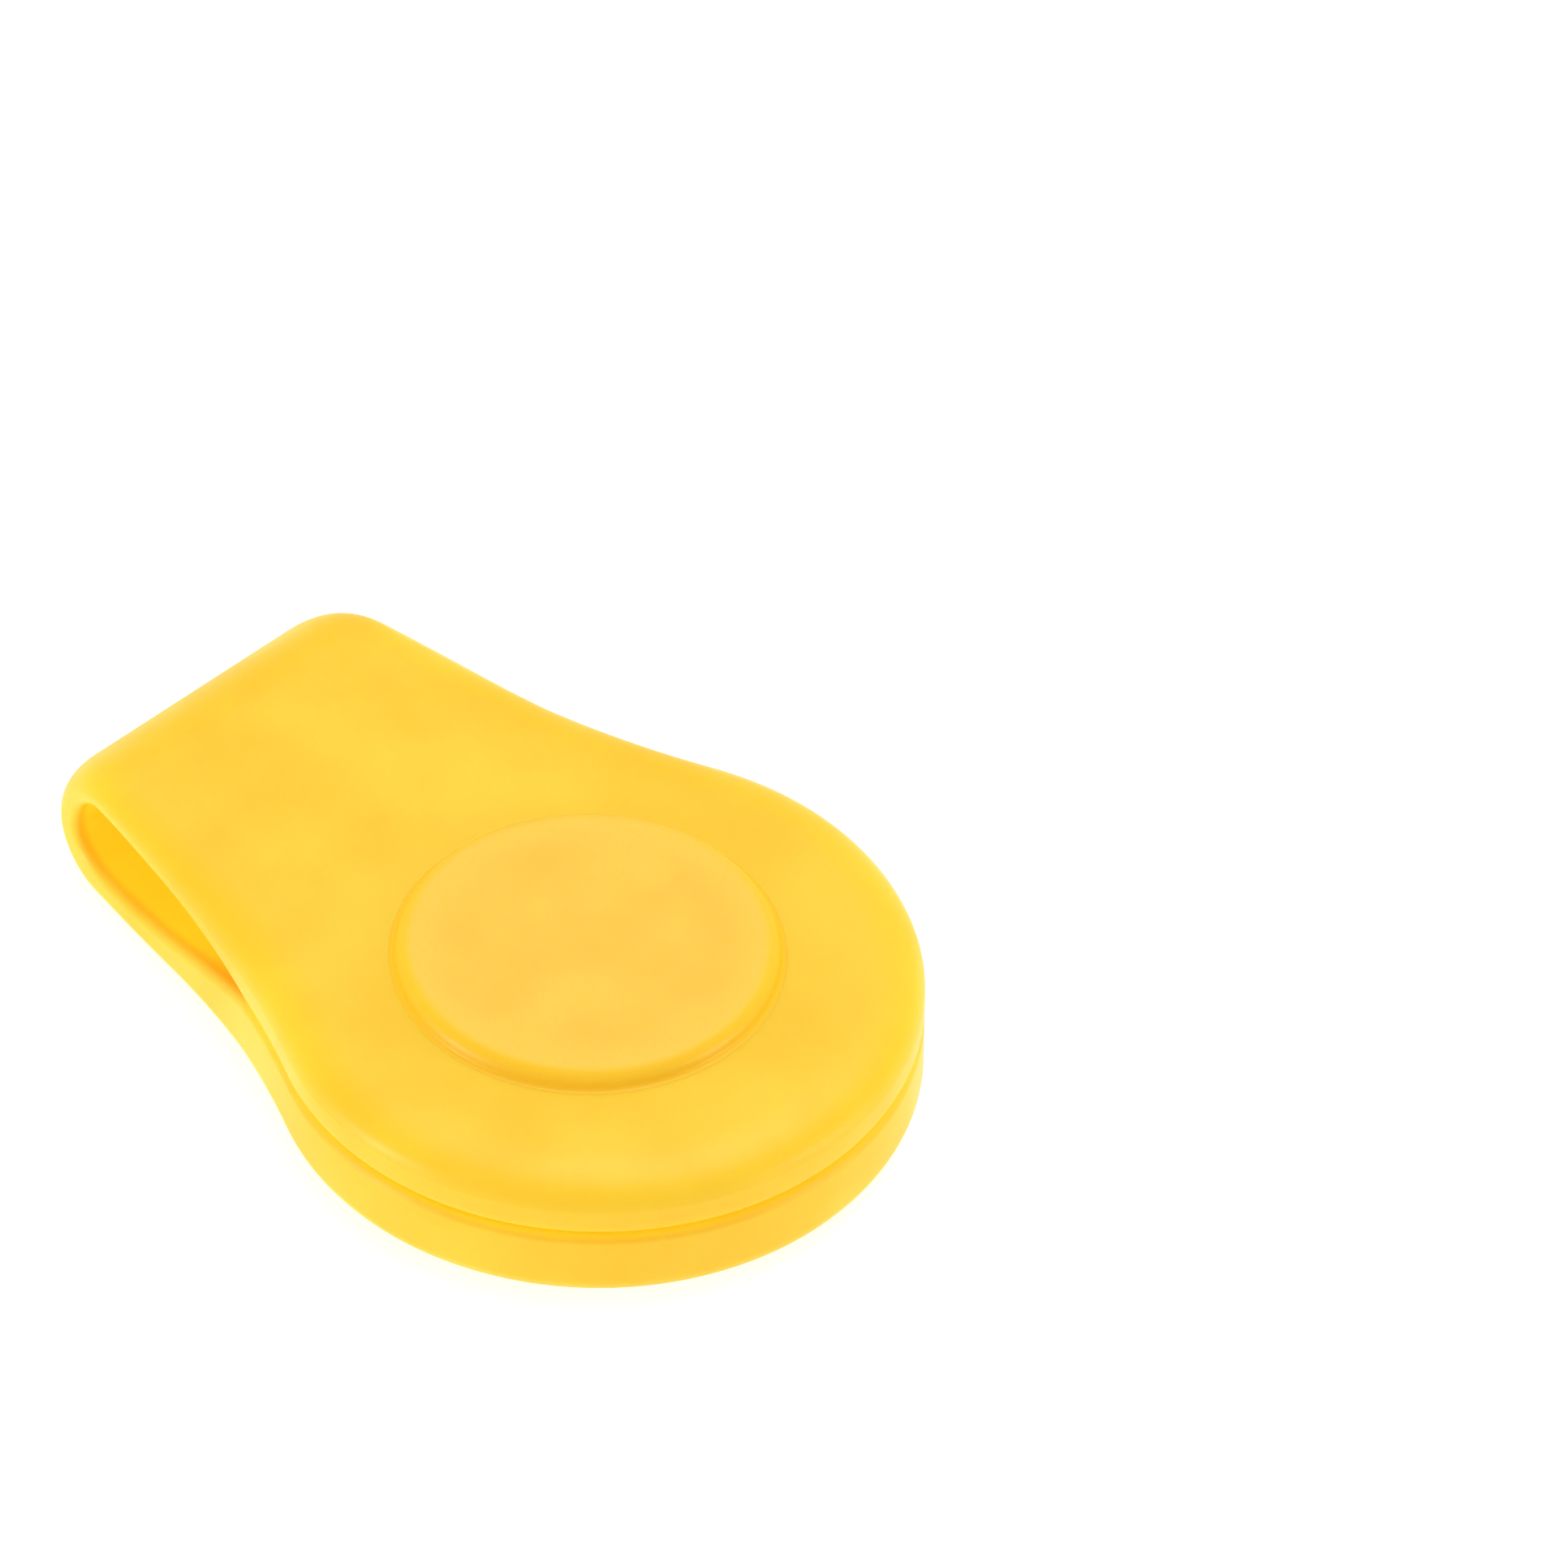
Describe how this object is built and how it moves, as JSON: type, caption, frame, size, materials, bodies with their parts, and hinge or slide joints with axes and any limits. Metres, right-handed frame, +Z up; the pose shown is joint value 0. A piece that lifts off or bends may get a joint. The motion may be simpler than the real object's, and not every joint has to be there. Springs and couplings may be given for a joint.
{
  "type": "lip grip",
  "caption": "Folded silicone clip with magnets in two round paddles and a raised pad, for the edge of a brim or pocket.",
  "frame": {"origin": "bottom centre of the closed clip's box, without regard to its magnets", "axes": "+X from the fold towards the round end, +Y across the strap, +Z up towards the raised pad"},
  "size_m": [0.0488, 0.034, 0.0092],
  "materials": {
    "silicone": "smooth satin, slightly translucent yellow",
    "pad_silicone": "fine matt grain over the magnet, slightly paler yellow",
    "cover_silicone": "matt yellow",
    "magnet_plating": "bright nickel plate"
  },
  "bodies": {
    "lower_half": {"lower_paddle": "silicone", "lower_magnet": "magnet_plating", "lower_magnet_cover": "cover_silicone", "fold_hinge": "silicone"},
    "upper_half": {"upper_paddle": "silicone", "upper_magnet": "magnet_plating", "pad_cap": "pad_silicone"}
  },
  "joints": [
    {"name": "fold_opening", "type": "hinge", "parent": "lower_half", "child": "upper_half", "pos_m": [-0.02225, 0, 0.00407], "axis": [0, -1, 0], "range_deg": [0, 90], "stiffness_Nm_per_rad": 0.004, "springref_deg": -34.38, "deforming": ["fold_hinge"]}
  ]
}
